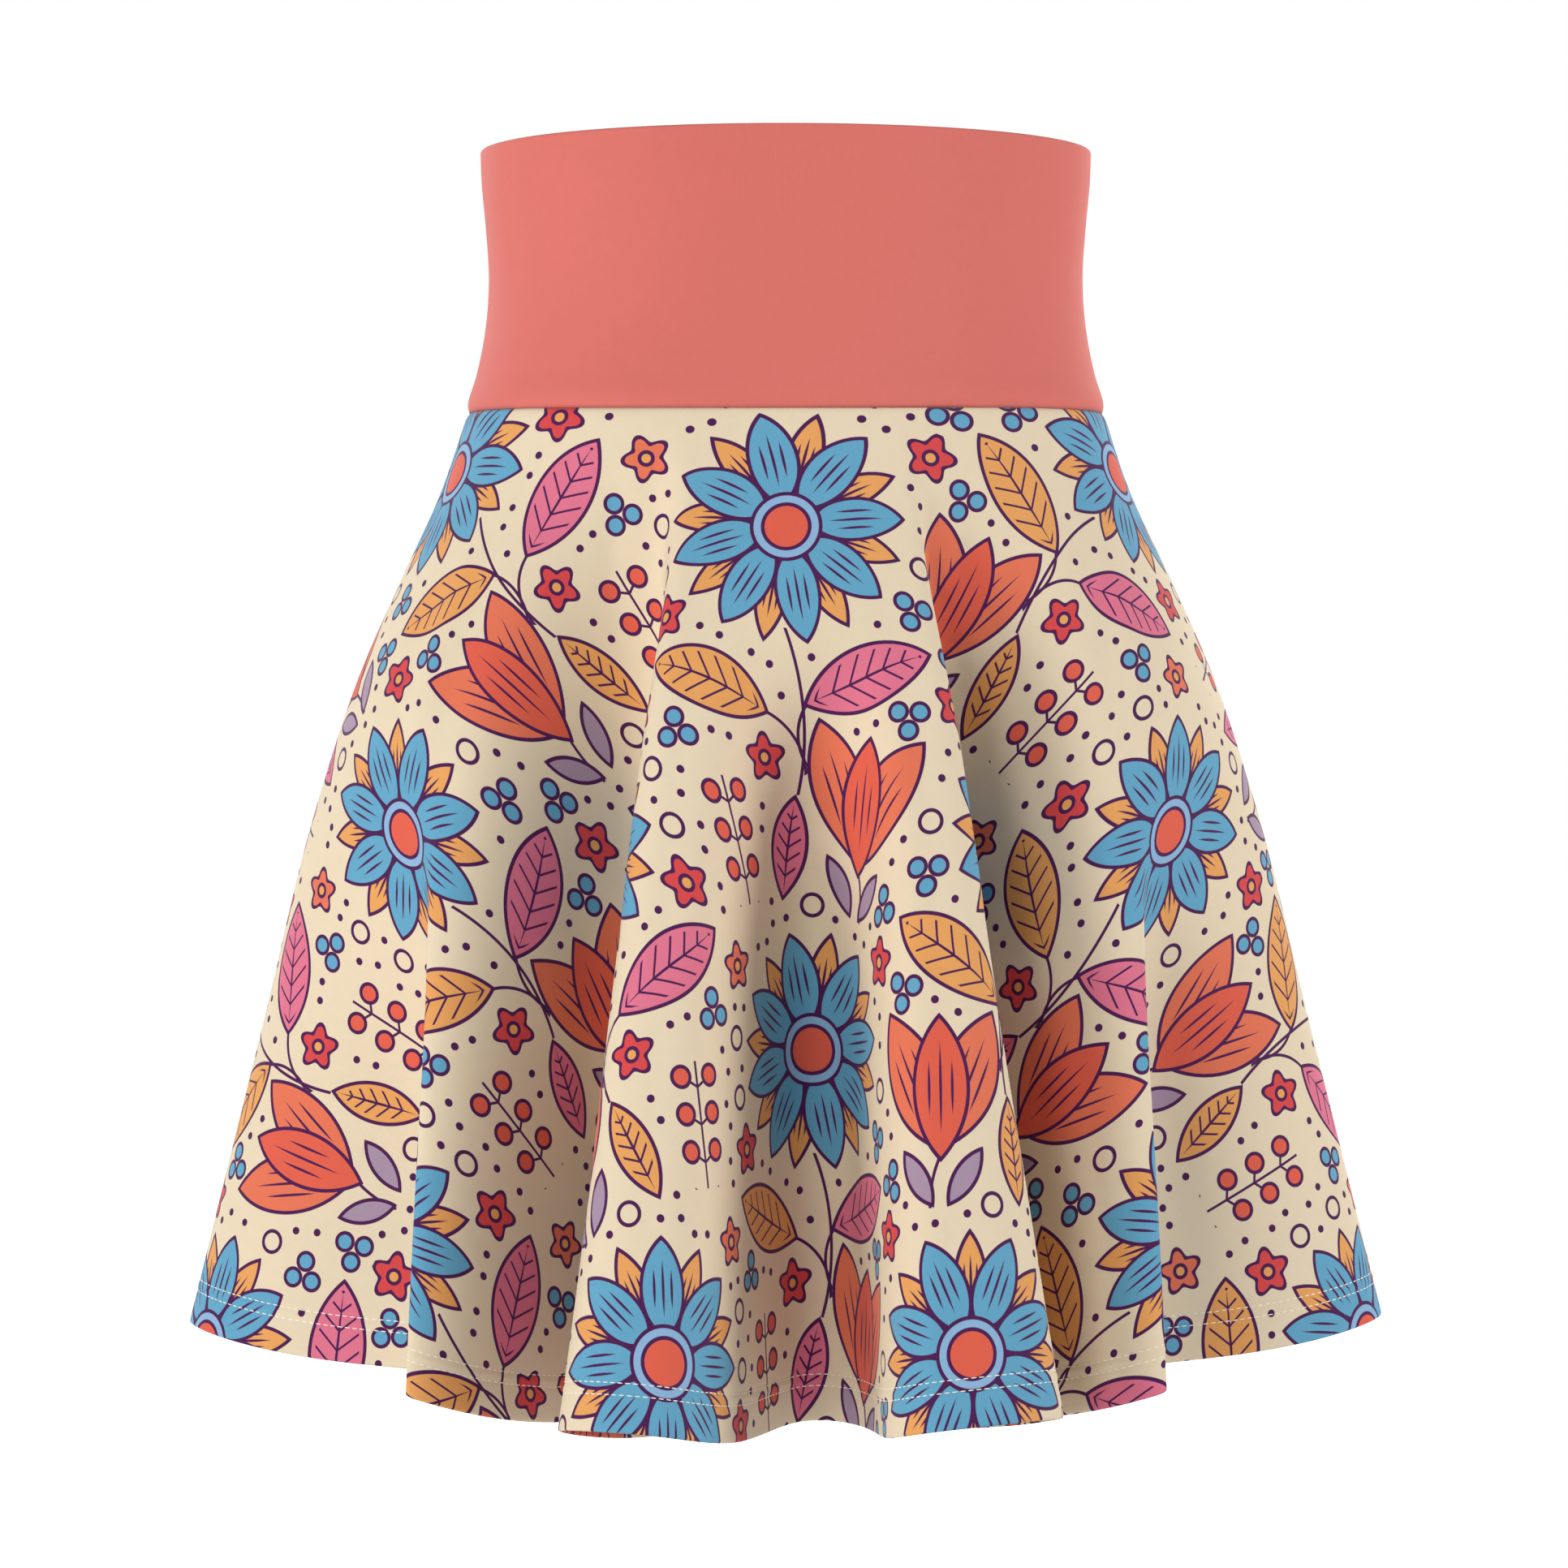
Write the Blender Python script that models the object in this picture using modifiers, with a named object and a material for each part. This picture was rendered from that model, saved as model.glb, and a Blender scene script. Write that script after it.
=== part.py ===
"""A pull-on circle skirt: a tall, plain waistband in two halves over a skirt cut as two half circles.

Units are metres, +Z is up, and the front faces -Y. The origin is the centre of the waistband's narrowest
ring, where the wearer's waist holds the skirt. A turn is an angle round that axis, in degrees, from the front
(0) through the +X side (90) to the back (180).
"""

from collections import namedtuple

import bpy
import numpy as np

COLLECTION = "circle_skirt"

# The cut
CLOTH_LENGTH = 0.399  # seam to hem, down the cloth
SEAM_RADIUS = 0.103  # of the circle cut out for the waist, before the seam is stretched on to the band
WALL = 0.0012
HEM_WALL = 0.0020  # the turned-up hem
HEM_DEPTH = 0.020
HEM_LEDGE = 0.0008  # down the cloth, where the wall thickens to the hem's
BAND_WALL = 0.0022  # the band is doubled over
SEAM_GAP = 0.0003  # between pieces that are sewn together
EDGE_ROUND = 0.0006

# How it hangs
SEAM_HEIGHT = -0.0550  # at the sides
SEAM_DIP = 0.0043  # how much lower the seam is at the front and back
LEFT_LIFT = 0.040  # share of its drop that the cloth loses over the left hip
RIGHT_LIFT = 0.048
LIFT_BEND = 1.5  # power of the distance to the side that the lift follows
SLIP_SHARE = 0.75  # of a strip's slip round the circle, the rest being shear in the knit
LEAST_DROP = 0.3  # share of its own length that a strip drops at the least
FOLD_RISE = 0.170  # a fold reaches its full share of the depth this far below its start
EARLY_SHARE = 0.03  # of the depth that every fold has right below the seam
EARLY_RISE = 0.060
GATHER_LENGTH = 0.150  # down to here the knit takes up part of its fullness by stretch
FULLEST = 3.5  # upper bound of the share by which a ring's folds are deepened
FULLEST_SWING = 1.2  # the same for the swing of their flanks
CREST_FULLNESS = 0.08  # degrees by which a crest is wider than the valley, for a swing of one degree
HALVINGS = 40  # of the range in which that share is sought

# The mesh
BAND_COLUMNS = 36
FLANK_COLUMNS = 7  # from a crest to a valley
FINE = 16  # steps worked out for each of those columns
FLANK_STEPS = FLANK_COLUMNS * FINE
ROW_STEPS = 4  # steps worked out for each row
SEAM_STEPS = 2  # width of the narrow column beside a side seam, which keeps both panels' walls parallel there
SOFTEN = 0.08  # share of a flank over which its bends are evened out

Band = namedtuple("Band", "place height half_width half_depth")
BAND_SECTIONS = (
    Band("rim", 0.0515, 0.1240, 0.0932),
    Band("below the rim", 0.0400, 0.1236, 0.0928),
    Band("upper", 0.0200, 0.1218, 0.0913),
    Band("waist", 0.0000, 0.1206, 0.0902),
    Band("lower", -0.0200, 0.1219, 0.0912),
    Band("above the seam", -0.0400, 0.1258, 0.0943),
    Band("seam allowance", -0.0515, 0.1291, 0.0969),
    Band("seam", SEAM_HEIGHT, 0.1292, 0.0970),
)

# The ring that encloses the folds, at a distance down the cloth
Reach = namedtuple("Reach", "down half_width half_depth")
REACHES = (
    Reach(0.000, 0.1292, 0.0970),
    Reach(0.035, 0.1402, 0.1060),
    Reach(0.075, 0.1562, 0.1210),
    Reach(0.115, 0.1718, 0.1360),
    Reach(0.175, 0.1903, 0.1520),
    Reach(0.275, 0.2140, 0.1710),
    Reach(CLOTH_LENGTH, 0.2430, 0.1930),
)

ROWS = (0.0, 0.006, 0.022, 0.045, 0.072, 0.102, 0.135, 0.170, 0.210, 0.250, 0.290, 0.330, 0.362,
        CLOTH_LENGTH - HEM_DEPTH - HEM_LEDGE, CLOTH_LENGTH - HEM_DEPTH, CLOTH_LENGTH)

# Each row is a valley and the crest after it: their turns at the seam and at the hem, how deep the valley is,
# how far down the cloth it starts, by how many degrees the flank on each side of the valley swings under the
# crest beside it, and how far the crest stays inside the enclosing ring. The side seams lie in the first
# valley of each table.
Fold = namedtuple(
    "Fold", "place valley_seam valley_hem depth start swing_before swing_after crest_seam crest_hem inset"
)
FRONT_FOLDS = (
    Fold("left side", -105, -103, 0.090, 0.010, 2.0, 2.0, -88, -86, 0.000),
    Fold("left", -60, -44, 0.068, 0.120, 0.5, 1.6, -52, -37.5, 0.014),
    Fold("left inner", -23.5, -22.5, 0.120, 0.015, 0.5, 4.8, -14, -13.5, 0.000),
    Fold("centre", 3.5, 4, 0.095, 0.050, 0.8, 2.6, 19, 18.5, 0.004),
    Fold("right inner", 25, 22, 0.124, 0.025, 6.0, 0.6, 52, 38, 0.016),
    Fold("right", 60, 45, 0.068, 0.120, 1.6, 0.5, 88, 86, 0.000),
)
BACK_FOLDS = (
    Fold("right side", 106, 103, 0.090, 0.010, 2.5, 1.5, 121, 118, 0.006),
    Fold("right", 131, 130, 0.092, 0.030, 2.0, 3.0, 145, 143, 0.000),
    Fold("right inner", 155, 155, 0.108, 0.000, 2.5, 1.0, 168, 168, 0.003),
    Fold("centre", 181, 181, 0.114, 0.020, 2.0, 3.5, 194, 194, 0.000),
    Fold("left inner", 206, 206, 0.104, 0.000, 3.0, 1.0, 219, 220, 0.004),
    Fold("left", 231, 232, 0.096, 0.040, 1.0, 3.0, 243, 246, 0.003),
)

Finish = namedtuple("Finish", "colour roughness metallic")
BAND_FINISH = Finish((0.72, 0.17, 0.14, 1.0), 0.85, 0.0)
SKIRT_FINISH = Finish((0.86, 0.69, 0.46, 1.0), 0.85, 0.0)


def ease(share):
    """0 to 1 with level ends, for a share from 0 to 1."""
    share = np.clip(share, 0.0, 1.0)
    return share * share * (3.0 - 2.0 * share)


def read_curve(places, values, at):
    """Values at `at` on a smooth curve through the points (places, values)."""
    slopes = np.gradient(values, places)
    i = np.clip(np.searchsorted(places, at, side="right") - 1, 0, len(places) - 2)
    width = places[i + 1] - places[i]
    t = (at - places[i]) / width
    t2, t3 = t * t, t * t * t
    ends = (2 * t3 - 3 * t2 + 1) * values[i] + (3 * t2 - 2 * t3) * values[i + 1]
    return ends + width * ((t3 - 2 * t2 + t) * slopes[i] + (t3 - t2) * slopes[i + 1])


def reach(down):
    """The half width and half depth of the enclosing ring at a distance down."""
    downs, half_widths, half_depths = np.array(REACHES).T
    return read_curve(downs, half_widths, down), read_curve(downs, half_depths, down)


def ellipse(half_width, half_depth, turn):
    """Points (x, y) of an ellipse at each turn."""
    angle = np.radians(turn)
    return np.stack([half_width * np.sin(angle), -half_depth * np.cos(angle)], axis=-1)


def lengths_along(points):
    """How far along a line each of its points is."""
    steps = np.linalg.norm(np.diff(points, axis=0), axis=1)
    return np.concatenate([[0.0], np.cumsum(steps)])


def folded_ring(down, deepening):
    """The closed ring at a distance down, with its folds `deepening` times as deep as their share there.

    The points run from the left side seam round the front and the back. Each flank between a valley and a crest
    is half a wave: level at both ends, steep in the middle, and past upright where it swings under the crest.
    """
    share = down / CLOTH_LENGTH
    folds = FRONT_FOLDS + BACK_FOLDS
    valleys = [fold.valley_seam + (fold.valley_hem - fold.valley_seam) * share for fold in folds]
    early = EARLY_SHARE * ease(down / EARLY_RISE)
    late = [(1.0 - EARLY_SHARE) * ease((down - fold.start) / FOLD_RISE) for fold in folds]
    grown = [deepening * (early + share_late) for share_late in late]
    swung = [min(share_grown, FULLEST_SWING) for share_grown in grown]
    phase = np.linspace(0.0, np.pi, FLANK_STEPS, endpoint=False)
    turns, depths = [], []
    for i, fold in enumerate(folds):
        after = (i + 1) % len(folds)
        crest = fold.crest_seam + (fold.crest_hem - fold.crest_seam) * share
        next_valley = valleys[after] + (360.0 if after == 0 else 0.0)
        depth, next_depth = fold.depth * grown[i], folds[after].depth * grown[after]
        inset = fold.inset * share
        flanks = (
            (valleys[i], crest, depth, inset, fold.swing_after * swung[i], -1.0),
            (crest, next_valley, inset, next_depth, folds[after].swing_before * swung[after], 1.0),
        )
        for turn_0, turn_1, depth_0, depth_1, swing, side in flanks:
            turns.append(
                turn_0 + (turn_1 - turn_0) * phase / np.pi
                + swing * np.sin(2.0 * phase) + side * CREST_FULLNESS * swing**2 * np.sin(phase)
            )
            depths.append(depth_0 + (depth_1 - depth_0) * (1.0 - np.cos(phase)) / 2.0)
    turns, depths = np.concatenate(turns), np.concatenate(depths)
    half_width, half_depth = reach(down)
    angle = np.radians(turns)
    outward = np.stack([np.sin(angle) / half_width, -np.cos(angle) / half_depth], axis=-1)
    outward /= np.linalg.norm(outward, axis=1, keepdims=True)
    return ellipse(half_width, half_depth, turns) - outward * depths[:, None]


def cloth_ring(down):
    """The ring at a distance down the cloth, its folds deepened until it is as long as the cut is there.

    The cut is a circle, so a ring of it is 2 pi times its radius.
    """
    plain = lengths_along(folded_ring(down, 0.0))[-1]
    spare = max(2.0 * np.pi * (SEAM_RADIUS + down) - plain, 0.0)
    wanted = plain + spare * ease(down / GATHER_LENGTH)
    low, high = 0.0, FULLEST
    for _ in range(HALVINGS):
        middle = (low + high) / 2.0
        if lengths_along(folded_ring(down, middle))[-1] < wanted:
            low = middle
        else:
            high = middle
    return soften(folded_ring(down, low))


def soften(ring):
    """The ring, a closed row of points, with its short waves faded out."""
    waves = np.fft.rfftfreq(len(ring))
    fade = np.exp(-2.0 * (np.pi * waves * SOFTEN * FLANK_STEPS) ** 2)
    return np.fft.irfft(np.fft.rfft(ring, axis=0) * fade[:, None], n=len(ring), axis=0)


def seam_height(x):
    """How high the seam between band and skirt is, from how far to the side it is."""
    return SEAM_HEIGHT - SEAM_DIP * (1.0 - (x / BAND_SECTIONS[-1].half_width) ** 2)


def hang(rings, rows):
    """The panel's rings as points in space.

    A line down a fold is as long as the same line on the flat cut, where it also slips round the circle,
    because each ring is shared out evenly over the half turn of the cut. What the line doesn't use sideways,
    it drops.
    """
    points = np.zeros(rings.shape[:2] + (3,))
    points[:, :, :2] = rings
    points[0, :, 2] = seam_height(rings[0, :, 0]) - SEAM_GAP
    along = np.stack([lengths_along(ring) for ring in rings])
    cut_angle = np.pi * along / along[:, -1:]
    for k in range(1, len(rows)):
        strip = rows[k] - rows[k - 1]
        slip = SLIP_SHARE * (SEAM_RADIUS + rows[k]) * (cut_angle[k] - cut_angle[k - 1])
        across = np.linalg.norm(rings[k] - rings[k - 1], axis=1)
        drop = np.sqrt(np.maximum(strip**2 + slip**2 - across**2, (LEAST_DROP * strip) ** 2))
        aside = rings[k, :, 0] / reach(rows[k])[0]
        drop *= 1.0 - np.where(aside < 0.0, LEFT_LIFT, RIGHT_LIFT) * np.abs(aside) ** LIFT_BEND
        points[k, :, 2] = points[k - 1, :, 2] - drop
    return points


def skirt_panels():
    """Grids of points for the front and the back panel: rows down, and columns to the right from outside."""
    steps = np.arange((len(ROWS) - 1) * ROW_STEPS + 1) / ROW_STEPS
    rows = np.interp(steps, np.arange(len(ROWS)), ROWS)
    rings = np.stack([cloth_ring(down) for down in rows])
    side = 2 * len(FRONT_FOLDS) * FLANK_STEPS
    panels = (rings[:, :side + 1], np.concatenate([rings[:, side:], rings[:, :1]], axis=1))
    return [part_edges(narrow_ends(hang(panel, rows)[::ROW_STEPS])) for panel in panels]


def narrow_ends(grid):
    """Every FINE-th column of the grid, and a narrow one beside each of its side edges."""
    last = grid.shape[1] - 1
    inner = np.arange(FINE, last - FINE + 1, FINE)
    return grid[:, np.concatenate([[0, SEAM_STEPS], inner, [last - SEAM_STEPS, last]])]


def part_edges(grid):
    """The grid drawn in by half a seam gap at its two side edges."""
    for edge, inner in ((0, 1), (-1, -2)):
        inward = grid[:, inner] - grid[:, edge]
        grid[:, edge] += inward / np.linalg.norm(inward, axis=1, keepdims=True) * SEAM_GAP / 2.0
    return grid


def band_panel(middle):
    """The grid of points of the band's half round the turn `middle`: rows down, columns to the right."""
    rim, seam = BAND_SECTIONS[0], BAND_SECTIONS[-1]
    half_gap = np.degrees(SEAM_GAP / 2.0 / rim.half_depth)
    turns = middle + np.linspace(-90.0 + half_gap, 90.0 - half_gap, BAND_COLUMNS + 1)
    dip = seam_height(ellipse(seam.half_width, seam.half_depth, turns)[:, 0]) - SEAM_HEIGHT
    rows = []
    for section in BAND_SECTIONS:
        share = (rim.height - section.height) / (rim.height - seam.height)
        height = section.height + share * dip
        rows.append(np.column_stack([ellipse(section.half_width, section.half_depth, turns), height]))
    return np.stack(rows)


def make_material(name, finish):
    """A Principled material in the finish."""
    material = bpy.data.materials.new(name)
    material.use_nodes = True
    shader = material.node_tree.nodes["Principled BSDF"]
    shader.inputs["Base Color"].default_value = finish.colour
    shader.inputs["Roughness"].default_value = finish.roughness
    shader.inputs["Metallic"].default_value = finish.metallic
    return material


def make_sheet(name, grid, material, collection):
    """An object whose mesh is the open surface through the grid, facing out."""
    rows, columns = grid.shape[:2]
    corner = np.arange(rows * columns).reshape(rows, columns)
    faces = np.stack([corner[:-1, :-1], corner[1:, :-1], corner[1:, 1:], corner[:-1, 1:]], axis=-1)
    mesh = bpy.data.meshes.new(name)
    mesh.from_pydata(grid.reshape(-1, 3).tolist(), [], faces.reshape(-1, 4).tolist())
    mesh.materials.append(material)
    mesh.shade_smooth()
    sheet = bpy.data.objects.new(name, mesh)
    collection.objects.link(sheet)
    return sheet


def thicken(sheet, wall):
    """Gives the sheet its wall, on the inside."""
    solidify = sheet.modifiers.new("wall", "SOLIDIFY")
    solidify.thickness = wall
    solidify.offset = -1.0
    solidify.use_even_offset = True
    solidify.use_quality_normals = True
    return solidify


def make_band(name, middle, material, collection):
    """Half of the waistband, with all its edges rounded."""
    band = make_sheet(name, band_panel(middle), material, collection)
    thicken(band, BAND_WALL)
    bevel = band.modifiers.new("edge", "BEVEL")
    bevel.width = EDGE_ROUND
    bevel.segments = 1
    bevel.limit_method = "ANGLE"
    return band


def make_skirt_panel(name, grid, material, collection):
    """One panel of the skirt, thicker where its hem is turned up."""
    panel = make_sheet(name, grid, material, collection)
    columns = grid.shape[1]
    hem_rows = sum(1 for down in ROWS if down >= CLOTH_LENGTH - HEM_DEPTH)
    first = (len(ROWS) - hem_rows) * columns
    hem = panel.vertex_groups.new(name="hem")
    hem.add(list(range(first, len(ROWS) * columns)), 1.0, "REPLACE")
    solidify = thicken(panel, HEM_WALL)
    solidify.vertex_group = hem.name
    solidify.thickness_vertex_group = WALL / HEM_WALL
    return panel


def main():
    for old in list(bpy.data.objects):
        bpy.data.objects.remove(old)
    collection = bpy.data.collections.new(COLLECTION)
    bpy.context.scene.collection.children.link(collection)
    coral_knit = make_material("coral_knit", BAND_FINISH)
    printed_knit = make_material("printed_knit", SKIRT_FINISH)
    make_band("waistband_front", 0.0, coral_knit, collection)
    make_band("waistband_back", 180.0, coral_knit, collection)
    front, back = skirt_panels()
    make_skirt_panel("skirt_front", front, printed_knit, collection)
    make_skirt_panel("skirt_back", back, printed_knit, collection)


main()
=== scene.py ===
import math
import bpy
import numpy as np
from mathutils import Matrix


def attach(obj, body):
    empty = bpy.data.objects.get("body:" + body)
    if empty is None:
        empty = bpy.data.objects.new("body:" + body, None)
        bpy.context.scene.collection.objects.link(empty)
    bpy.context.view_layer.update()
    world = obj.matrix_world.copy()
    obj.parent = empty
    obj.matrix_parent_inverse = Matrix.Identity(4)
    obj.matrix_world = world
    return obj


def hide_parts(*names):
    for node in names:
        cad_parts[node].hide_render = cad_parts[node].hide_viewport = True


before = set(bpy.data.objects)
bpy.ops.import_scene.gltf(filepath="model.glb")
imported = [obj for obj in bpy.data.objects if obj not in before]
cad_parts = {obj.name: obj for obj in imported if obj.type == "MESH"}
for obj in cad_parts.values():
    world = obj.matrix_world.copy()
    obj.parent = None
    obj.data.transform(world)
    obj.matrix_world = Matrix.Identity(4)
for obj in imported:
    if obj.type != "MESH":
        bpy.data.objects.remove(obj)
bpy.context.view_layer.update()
print("frame loaded:", ", ".join(sorted(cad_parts)))


def addObject(name, data):
    made = bpy.data.objects.new(name, data)
    bpy.context.scene.collection.objects.link(made)
    return made


def addMesh(name, points, faces, materials):
    mesh = bpy.data.meshes.new(name)
    mesh.from_pydata(points.reshape(-1, 3).tolist(), [], faces)
    mesh.shade_smooth()
    for material in materials:
        mesh.materials.append(material)
    return addObject(name, mesh)


# Camera

camera = {
    "lens": 112.93,
    "sensor": 36.0,
    "away": 2.0,  # from the skirt's middle, metres
    "height": -0.205,
    "aside": -0.0007,
    "sees": 100.0,
}


def addCamera():
    data = bpy.data.cameras.new("camera")
    data.lens = camera["lens"]
    data.sensor_width = camera["sensor"]
    data.clip_end = camera["sees"]
    view = addObject("camera", data)
    view.location = (camera["aside"], -camera["away"], camera["height"])
    view.rotation_euler = (math.pi / 2.0, 0.0, 0.0)
    bpy.context.scene.camera = view


addCamera()
print("camera placed")


# The form that the cloth hangs in, in metres. A turn is an angle round the waist, in degrees, from the front
# through the +X side (90) to the back (180).

cut = {
    "length": 0.399,  # seam to hem, down the cloth
    "seamRadius": 0.103,  # of the circle cut out for the waist
    "hemDepth": 0.020,  # turned up inside
    "seamLap": 0.00006,  # how far two pieces run into each other at a seam, so that no light comes through
}

drape = {
    "seamHeight": -0.0550,  # at the sides
    "seamDip": 0.0043,  # how much lower it is at the front and back
    "leftLift": 0.040,  # share of its drop that the cloth loses over the left hip
    "rightLift": 0.048,
    "liftBend": 1.5,  # power of the distance to the side that the lift follows
    "slipShare": 0.75,  # of a strip's slip round the circle, the rest being shear in the knit
    "leastDrop": 0.3,  # share of its own length that a strip drops at the least
    "foldRise": 0.170,  # a fold reaches its full share of the depth this far below its start
    "earlyShare": 0.03,  # of the depth that every fold has right below the seam
    "earlyRise": 0.060,
    "gatherLength": 0.150,  # down to here the knit takes up part of its fullness by stretch
    "fullest": 3.5,  # upper bound of the share by which a ring's folds are deepened
    "fullestSwing": 1.2,  # the same for the swing of their flanks
    "crestFullness": 0.08,  # degrees by which a crest is wider than the valley, for a swing of one degree
    "soften": 0.08,  # share of a flank over which its bends are evened out
    "flankSteps": 30,  # columns from a crest to a valley
    "halvings": 36,  # of the range in which the deepening is sought
}

# The ring that encloses the folds: distance down the cloth, half width, half depth
reaches = np.array([
    (0.000, 0.1292, 0.0970),
    (0.035, 0.1402, 0.1060),
    (0.075, 0.1562, 0.1210),
    (0.115, 0.1718, 0.1360),
    (0.175, 0.1903, 0.1520),
    (0.275, 0.2140, 0.1710),
    (0.399, 0.2430, 0.1930),
])

# Each row is a valley and the crest after it. Swings are the degrees by which the flank on each side of the
# valley swings under the crest beside it, and inset is how far the crest stays inside the enclosing ring.
foldColumns = (
    "valleySeam", "valleyHem", "depth", "start",
    "swingBefore", "swingAfter", "crestSeam", "crestHem", "inset",
)
frontFolds = {
    "left side": (-105, -103, 0.090, 0.010, 2.0, 2.0, -88, -86, 0.000),
    "left": (-60, -45, 0.060, 0.120, 0.3, -0.3, -52, -39.5, 0.018),
    "left inner": (-23.5, -22.5, 0.120, 0.015, 0.5, 4.8, -14, -13.5, 0.000),
    "centre": (3.5, 4, 0.095, 0.050, 0.8, 2.6, 19, 18.5, 0.004),
    "right inner": (25, 22, 0.124, 0.025, 6.0, 0.6, 52, 40, 0.020),
    "right": (60, 46, 0.060, 0.120, -0.3, 0.3, 88, 86, 0.000),
}
backFolds = {
    "right side": (106, 103, 0.090, 0.010, 2.5, 1.5, 121, 118, 0.006),
    "right": (131, 130, 0.092, 0.030, 2.0, 3.0, 145, 143, 0.000),
    "right inner": (155, 155, 0.108, 0.000, 2.5, 1.0, 168, 168, 0.003),
    "centre": (181, 181, 0.114, 0.020, 2.0, 3.5, 194, 194, 0.000),
    "left inner": (206, 206, 0.104, 0.000, 3.0, 1.0, 219, 220, 0.004),
    "left": (231, 232, 0.096, 0.040, 1.0, 3.0, 243, 246, 0.003),
}
foldRows = np.array(list(frontFolds.values()) + list(backFolds.values()), dtype=float)
fold = dict(zip(foldColumns, foldRows.T))
panelFlanks = 2 * len(frontFolds)


def ease(share):
    # 0 to 1 with level ends: s^2 (3 - 2s)
    share = np.clip(share, 0.0, 1.0)
    return share * share * (3.0 - 2.0 * share)


def smoothCurve(places, values, at):
    # cubic Hermite through the points, its slopes the mean slopes at each of them
    slopes = np.gradient(values, places)
    i = np.clip(np.searchsorted(places, at, side="right") - 1, 0, len(places) - 2)
    width = places[i + 1] - places[i]
    t = (at - places[i]) / width
    ends = (2 * t**3 - 3 * t**2 + 1) * values[i] + (3 * t**2 - 2 * t**3) * values[i + 1]
    return ends + width * ((t**3 - 2 * t**2 + t) * slopes[i] + (t**3 - t**2) * slopes[i + 1])


def unit(vectors):
    return vectors / np.maximum(np.linalg.norm(vectors, axis=-1, keepdims=True), 1e-12)


def lengthsAlong(points):
    # how far along a row of points each of them is
    steps = np.linalg.norm(np.diff(points, axis=-2), axis=-1)
    return np.concatenate([np.zeros(steps.shape[:-1] + (1,)), np.cumsum(steps, axis=-1)], axis=-1)


def halfAxes(sections, at):
    # half width and half depth, between the sections that are given
    return [smoothCurve(sections[:, 0], sections[:, i], at) for i in (1, 2)]


def paired(first, second):
    # the values of each fold's two flanks, in turn, as a column
    return np.stack([first, second], axis=1).reshape(-1, 1)


def foldedRing(down, deepening):
    # Round the ring a flank is half a cosine wave from a valley to a crest: its turn runs evenly with the
    # wave's phase, plus swing * sin(2 phase), which takes the steep middle of the wave under the crest. The
    # point is the enclosing ellipse's point at that turn, moved in along its normal by the wave's depth.
    share = down / cut["length"]
    valley = fold["valleySeam"] + (fold["valleyHem"] - fold["valleySeam"]) * share
    crest = fold["crestSeam"] + (fold["crestHem"] - fold["crestSeam"]) * share
    early = drape["earlyShare"] * ease(down / drape["earlyRise"])
    late = (1.0 - drape["earlyShare"]) * ease((down - fold["start"]) / drape["foldRise"])
    grown = deepening * (early + late)
    swung = np.minimum(grown, drape["fullestSwing"])
    deep = fold["depth"] * grown
    inset = fold["inset"] * share
    turn0 = paired(valley, crest)
    turn1 = paired(crest, np.append(valley[1:], valley[0] + 360.0))
    depth0 = paired(deep, inset)
    depth1 = paired(inset, np.roll(deep, -1))
    swing = paired(fold["swingAfter"] * swung, np.roll(fold["swingBefore"] * swung, -1))
    side = paired(-np.ones(len(valley)), np.ones(len(valley)))
    phase = np.linspace(0.0, np.pi, drape["flankSteps"], endpoint=False)
    turns = turn0 + (turn1 - turn0) * phase / np.pi + swing * np.sin(2.0 * phase)
    turns = turns + side * drape["crestFullness"] * swing**2 * np.sin(phase)
    depths = depth0 + (depth1 - depth0) * (1.0 - np.cos(phase)) / 2.0
    halfWidth, halfDepth = halfAxes(reaches, down)
    angle = np.radians(turns.ravel())
    ring = np.stack([halfWidth * np.sin(angle), -halfDepth * np.cos(angle)], axis=-1)
    outward = unit(np.stack([np.sin(angle) / halfWidth, -np.cos(angle) / halfDepth], axis=-1))
    return ring - outward * depths.ravel()[:, None]


def softened(ring):
    # the closed ring with its short waves faded out by a Gaussian
    waves = np.fft.rfftfreq(len(ring))
    fade = np.exp(-2.0 * (np.pi * waves * drape["soften"] * drape["flankSteps"]) ** 2)
    return np.fft.irfft(np.fft.rfft(ring, axis=0) * fade[:, None], n=len(ring), axis=0)


def clothRing(down):
    # the folds are deepened until the ring is as long as the circle that it is cut on, 2 pi times its radius
    plain = lengthsAlong(foldedRing(down, 0.0))[-1]
    spare = max(2.0 * np.pi * (cut["seamRadius"] + down) - plain, 0.0)
    wanted = plain + spare * ease(down / drape["gatherLength"])
    low, high = 0.0, drape["fullest"]
    for _ in range(drape["halvings"]):
        middle = (low + high) / 2.0
        if lengthsAlong(foldedRing(down, middle))[-1] < wanted:
            low = middle
        else:
            high = middle
    return softened(foldedRing(down, low))


def seamHeight(x):
    return drape["seamHeight"] - drape["seamDip"] * (1.0 - (x / reaches[0, 1]) ** 2)


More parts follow.
